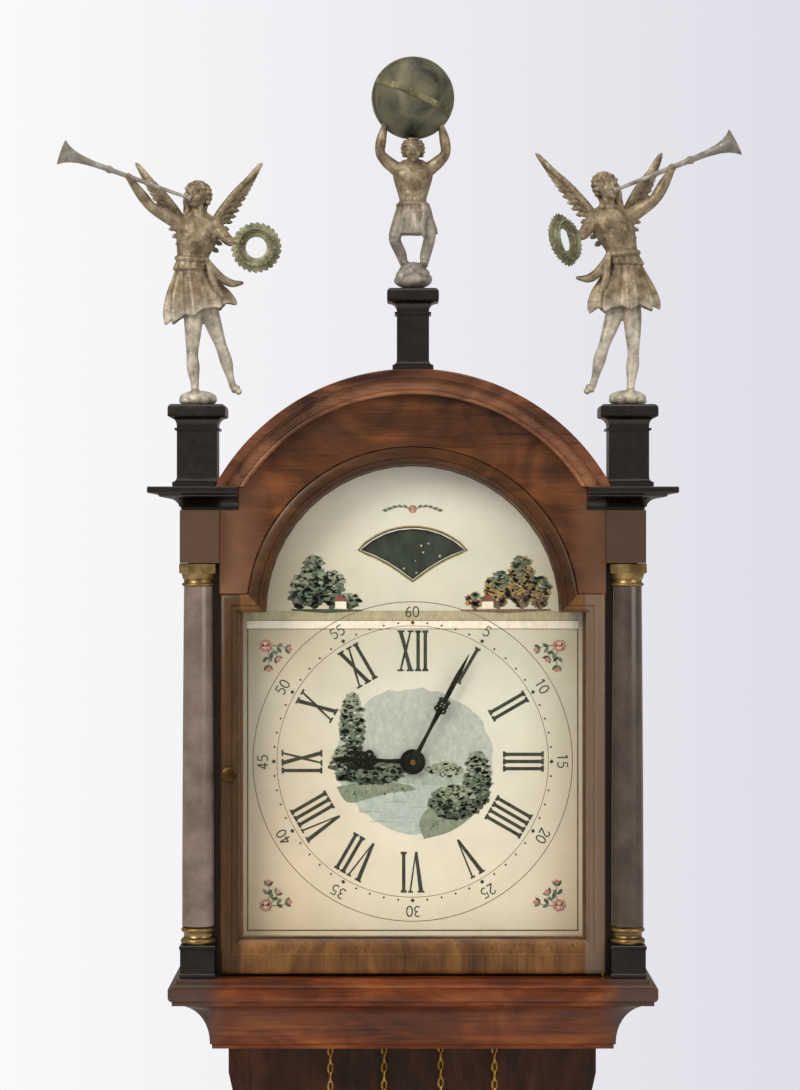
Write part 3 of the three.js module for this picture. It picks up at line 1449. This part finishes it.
function makePedestal(side) {
  const base = corniceHigh + fit;
  const post = squarePost(postProfile(pedestal), side * columnX, columnDepth, base);
  return cut(post, archRoom());
}

function makeMiddlePedestal() {
  const post = squarePost(postProfile(middlePedestal), 0, middleDepth, crownTop - middlePedestal.lip);
  return cut(post, archRoom());
}

// The room that the arch takes out of a pedestal's foot
const archRoom = () => bar(0, hoodArchCentre, 0, columnDepth * 2, archOuter + fit, sidesFine + sidesRound);

// Carved figures

function ellipseRing([x, y, z], halfX, halfY) {
  return Array.from({ length: sidesLoft }, (_, i) => {
    const angle = (2 * Math.PI * i) / sidesLoft;
    return new THREE.Vector3(x + halfX * Math.cos(angle), y + halfY * Math.sin(angle), z);
  });
}

// Figures are given as points, limbs and rings in their own frame, which "place" carries to the clock
const loft = (place, rings) =>
  skin(rings.map(([out, forward, up, halfX, halfY]) => ellipseRing(place([out, forward, up]), halfX, halfY)));
const bentLimb = (place, { joints, radii }) => tube(joints.map(place), radii, sidesFigure);
const lump = (place, { at, radii }, across, down) => ball(place(at), radii, across, down);

function makeAngel({ side, lean, stretchShare, wreathAngle }) {
  const floor = corniceHigh + 2 * fit + pedestal.height;
  const place = ([out, forward, up]) => {
    const leanShare = Math.max(0, (up - angel.hip) / (angel.crown - angel.hip));
    return [side * (columnX + out - lean * leanShare), -columnDepth - forward, floor + up * stretchShare];
  };
  const limbs = [angel.standingLeg, angel.trailingLeg, angel.trumpetArm, angel.wreathArm, angel.trumpet];
  const feet = [angel.standingFoot, angel.trailingFoot];
  return join(
    loft(place, angel.mound),
    loft(place, angel.body),
    lump(place, angel.head, sidesSmall, sidesFigure),
    limbs.map((part) => bentLimb(place, part)),
    feet.map((part) => lump(place, part)),
    makeWreath(place, side, wreathAngle),
    [-1, 1].map((hand) => makeWing(place, hand)),
  );
}

// A ring that the hand holds by its rim, turned about the hand
function makeWreath(place, side, angle) {
  const { hand, drop, radius, wire } = angel.wreath;
  const geometry = new THREE.TorusGeometry(radius, wire, 5, 12);
  geometry.rotateX(Math.PI / 2);
  geometry.translate(-side * radius, 0, -drop);
  geometry.rotateZ(side * angle * degree);
  geometry.translate(...place(hand));
  return solidFrom(geometry);
}

// A raised wing with scalloped feather tips
function makeWing(place, hand) {
  const outline = angel.wing.map(([out, up]) => {
    const [x, , z] = place([hand * out, 0, up]);
    return flat(x, z);
  });
  const near = columnDepth - angel.wingBehind - angel.wingThick;
  return plank(outline, near, near + angel.wingThick);
}

const middleDepth = fasciaFront;
const atlasFloor = crownTop - middlePedestal.lip + middlePedestal.height + fit;

function makeAtlas() {
  const place = ([out, forward, up]) => [out, -middleDepth - forward, atlasFloor + up];
  const limbs = [atlas.rightLeg, atlas.leftLeg, atlas.rightArm, atlas.leftArm];
  const feet = [atlas.rightFoot, atlas.leftFoot];
  const whole = join(
    loft(place, atlas.mound),
    loft(place, atlas.body),
    lump(place, atlas.head, sidesSmall, sidesFigure),
    limbs.map((part) => bentLimb(place, part)),
    feet.map((part) => lump(place, part)),
  );
  const clear = globe.radius + fit;
  return cut(whole, ball(place([0, 0, globe.rise]), [clear, clear, clear], sidesRound, sidesSmall));
}

function makeGlobe() {
  const centre = [0, -middleDepth, atlasFloor + globe.rise];
  const core = ball(centre, [globe.radius, globe.radius, globe.radius], sidesRound, sidesSmall);
  const inner = globe.radius - globe.bandRoot;
  const outer = globe.radius + globe.band;
  const profile = [
    [inner, -globe.bandHalf],
    [outer, -globe.bandHalf],
    [outer, globe.bandHalf],
    [inner, globe.bandHalf],
    [inner, -globe.bandHalf],
  ].map(([radius, height]) => new THREE.Vector2(radius, height));
  const geometry = new THREE.LatheGeometry(profile, sidesRound);
  geometry.rotateX(Math.PI / 2);
  geometry.rotateY(globe.tiltAngle * degree);
  geometry.translate(...centre);
  const band = solidFrom(geometry);
  return join(core, band);
}

// Materials

const finish = (color, roughness, metalness, extra = {}) =>
  new THREE.MeshStandardMaterial({ color, roughness, metalness, ...extra });
const materials = {
  mahogany: finish(0x6b3118, 0.35, 0),
  oak: finish(0x5a3a20, 0.6, 0),
  ebonised: finish(0x14100d, 0.3, 0),
  giltWood: finish(0x8f7648, 0.42, 0.6),
  globe: finish(0x2c2e1e, 0.45, 0.2),
  brass: finish(0xb08a3c, 0.3, 1),
  steel: finish(0x6e7276, 0.35, 1),
  darkBronze: finish(0x26261c, 0.35, 0.8),
  lead: finish(0x70726f, 0.6, 0.7),
  paintedDial: finish(0xe6dfc8, 0.5, 0),
  nightSky: finish(0x1c2a1e, 0.5, 0),
  glass: finish(0xdfe8e8, 0.05, 0, { transparent: true, opacity: 0.3 }),
};

const clock = new THREE.Group();

function add(name, material, solid) {
  const mesh = new THREE.Mesh(geometryFrom(solid), materials[material]);
  mesh.name = name;
  clock.add(mesh);
}

// Case
add("backboard", "oak", makeBackboard());
add("tail_front_board", "mahogany", makeTailFront());
add("tail_side_left", "mahogany", makeTailSide(-1));
add("tail_side_right", "mahogany", makeTailSide(1));
add("bob_window_bezel", "brass", makeBobWindowBezel());
add("bob_window_glass", "glass", makeBobWindowGlass());
add("seat_board", "oak", makeSeatBoard());
add("seat_brackets", "oak", makeSeatBrackets());

// Movement
add("front_plate", "brass", makeFrontPlate());
add("back_plate", "brass", makeBackPlate());
add("going_great_wheel", "brass", makeGoingGreatWheel());
add("going_sprocket", "steel", makeSprocket(goingGreatAt));
add("centre_wheel", "brass", makeCentreWheel());
add("third_wheel", "brass", makeThirdWheel());
add("escape_wheel", "brass", makeEscapeWheel());
add("anchor", "steel", makeAnchor());
add("pendulum_rod", "steel", makePendulumRod());
add("pendulum_bob", "brass", makePendulumBob());
add("minute_wheel", "brass", makeMinuteWheel());
add("hour_wheel", "brass", makeHourWheel());
add("striking_great_wheel", "brass", makeStrikingGreatWheel());
add("striking_sprocket", "steel", makeSprocket(strikingGreatAt));
add("hammer_wheel", "brass", makeHammerWheel());
add("warning_wheel", "brass", makeWarningWheel());
add("fly", "brass", makeFly());
add("hammer", "steel", makeHammer());
add("bell_standard", "steel", makeBellStandard());
add("bell", "brass", makeBell());

// Dial
add("dial_plate", "paintedDial", makeDialPlate());
add("moon_disc", "nightSky", makeMoonDisc());
add("hour_hand", "darkBronze", makeHand(hourHand));
add("minute_hand", "darkBronze", makeHand(minuteHand));

// Chains and weights
add("going_chain", "brass", makeChain(goingGreatAt, -1, chain.leftHook));
add("striking_chain", "brass", makeChain(strikingGreatAt, 1, chain.rightHook));
add("going_weight", "brass", makeWeight(goingGreatAt, -1, chain.leftHook));
add("striking_weight", "brass", makeWeight(strikingGreatAt, 1, chain.rightHook));
add("going_ring", "lead", makeCounterRing(goingGreatAt, -1, chain.leftHook));
add("striking_ring", "lead", makeCounterRing(strikingGreatAt, 1, chain.rightHook));

// Hood
add("hood_base", "mahogany", makeHoodBase());
add("hood_side_left", "mahogany", makeHoodSide(-1));
add("hood_side_right", "mahogany", makeHoodSide(1));
add("side_glass_left", "glass", makeSideGlass(-1));
add("side_glass_right", "glass", makeSideGlass(1));
add("hood_front", "mahogany", makeHoodFront());
add("hood_roof", "mahogany", makeHoodRoof());
add("arch_moulding", "mahogany", makeArchMoulding());
add("cornice_left", "ebonised", makeCornice(-1));
add("cornice_right", "ebonised", makeCornice(1));
add("column_left", "ebonised", makeColumn(-1));
add("column_right", "ebonised", makeColumn(1));
add("pedestal_left", "ebonised", makePedestal(-1));
add("pedestal_right", "ebonised", makePedestal(1));
add("pedestal_centre", "ebonised", makeMiddlePedestal());
add("angel_left", "giltWood", makeAngel(angelPoses.left));
add("angel_right", "giltWood", makeAngel(angelPoses.right));
add("atlas", "giltWood", makeAtlas());
add("globe", "globe", makeGlobe());

// Door
add("door_frame", "mahogany", makeDoorFrame());
add("door_glass", "glass", makeDoorGlass());
add("door_knob", "brass", makeDoorKnob());

export default clock;
